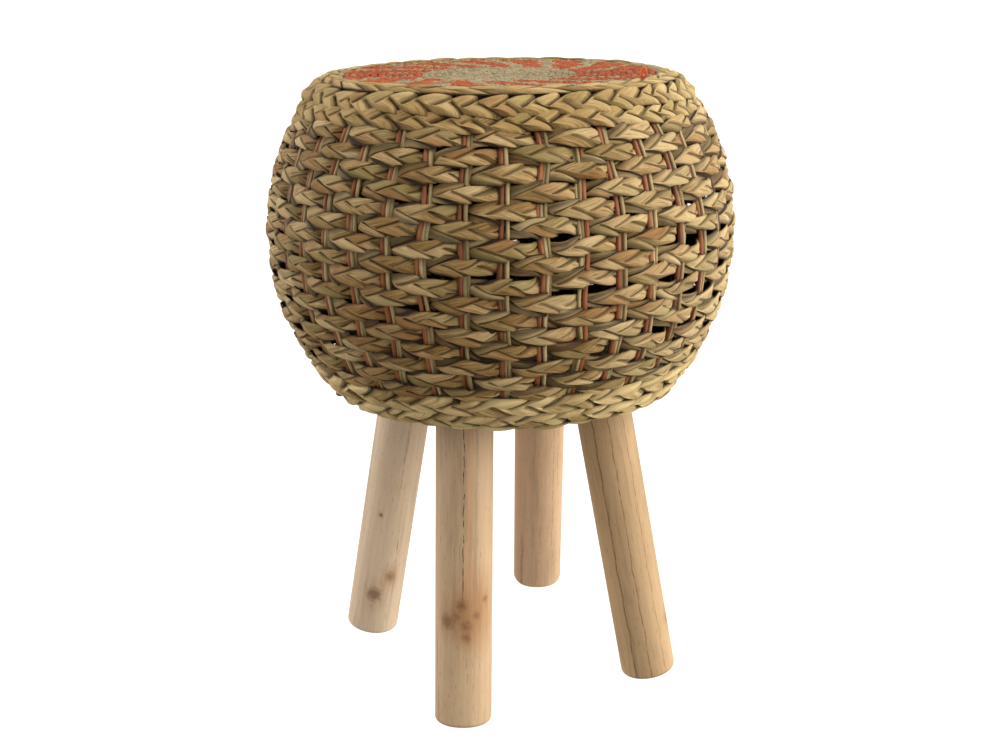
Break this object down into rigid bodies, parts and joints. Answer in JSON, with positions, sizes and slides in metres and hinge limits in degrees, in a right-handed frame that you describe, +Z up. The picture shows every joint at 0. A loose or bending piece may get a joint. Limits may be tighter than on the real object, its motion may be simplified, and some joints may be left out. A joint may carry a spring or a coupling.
{
  "type": "woven stool",
  "caption": "Low round stool: a ball-shaped drum of woven seagrass plaits on bent stakes, with a coiled rush seat mat and chunky braided edges, on splayed wooden pole legs.",
  "frame": {"origin": "on the floor, straight below the middle of the seat", "axes": "+Z up, +X to the sitter's right, -Y to the front; a leg stands near each of the four half-axes"},
  "size_m": [0.336, 0.336, 0.45],
  "materials": {
    "plywood": "matte",
    "wire": "satin",
    "straw_braid": "matte",
    "seagrass_plait": "matte",
    "dyed_stake": "matte",
    "rush_strand": "matte",
    "rush_mat": "matte",
    "screw": "satin",
    "pole_wood": "satin"
  },
  "bodies": {
    "root": {"seat_board": "plywood", "base_board": "plywood", "top_hoop": "wire", "base_hoop": "wire", "rim_braid": "straw_braid", "base_braid": "straw_braid", "dyed_stakes": "dyed_stake", "rush_strands": "rush_strand", "seat_mat": "rush_mat", "leg_screws": "screw", "course_01": "seagrass_plait", "course_02": "seagrass_plait", "course_03": "seagrass_plait", "course_04": "seagrass_plait", "course_05": "seagrass_plait", "course_06": "seagrass_plait", "course_07": "seagrass_plait", "course_08": "seagrass_plait", "course_09": "seagrass_plait", "course_10": "seagrass_plait", "course_11": "seagrass_plait", "course_12": "seagrass_plait", "course_13": "seagrass_plait", "course_14": "seagrass_plait", "course_15": "seagrass_plait", "course_16": "seagrass_plait", "leg_front": "pole_wood", "leg_right": "pole_wood", "leg_back": "pole_wood", "leg_left": "pole_wood"}
  },
  "joints": []
}
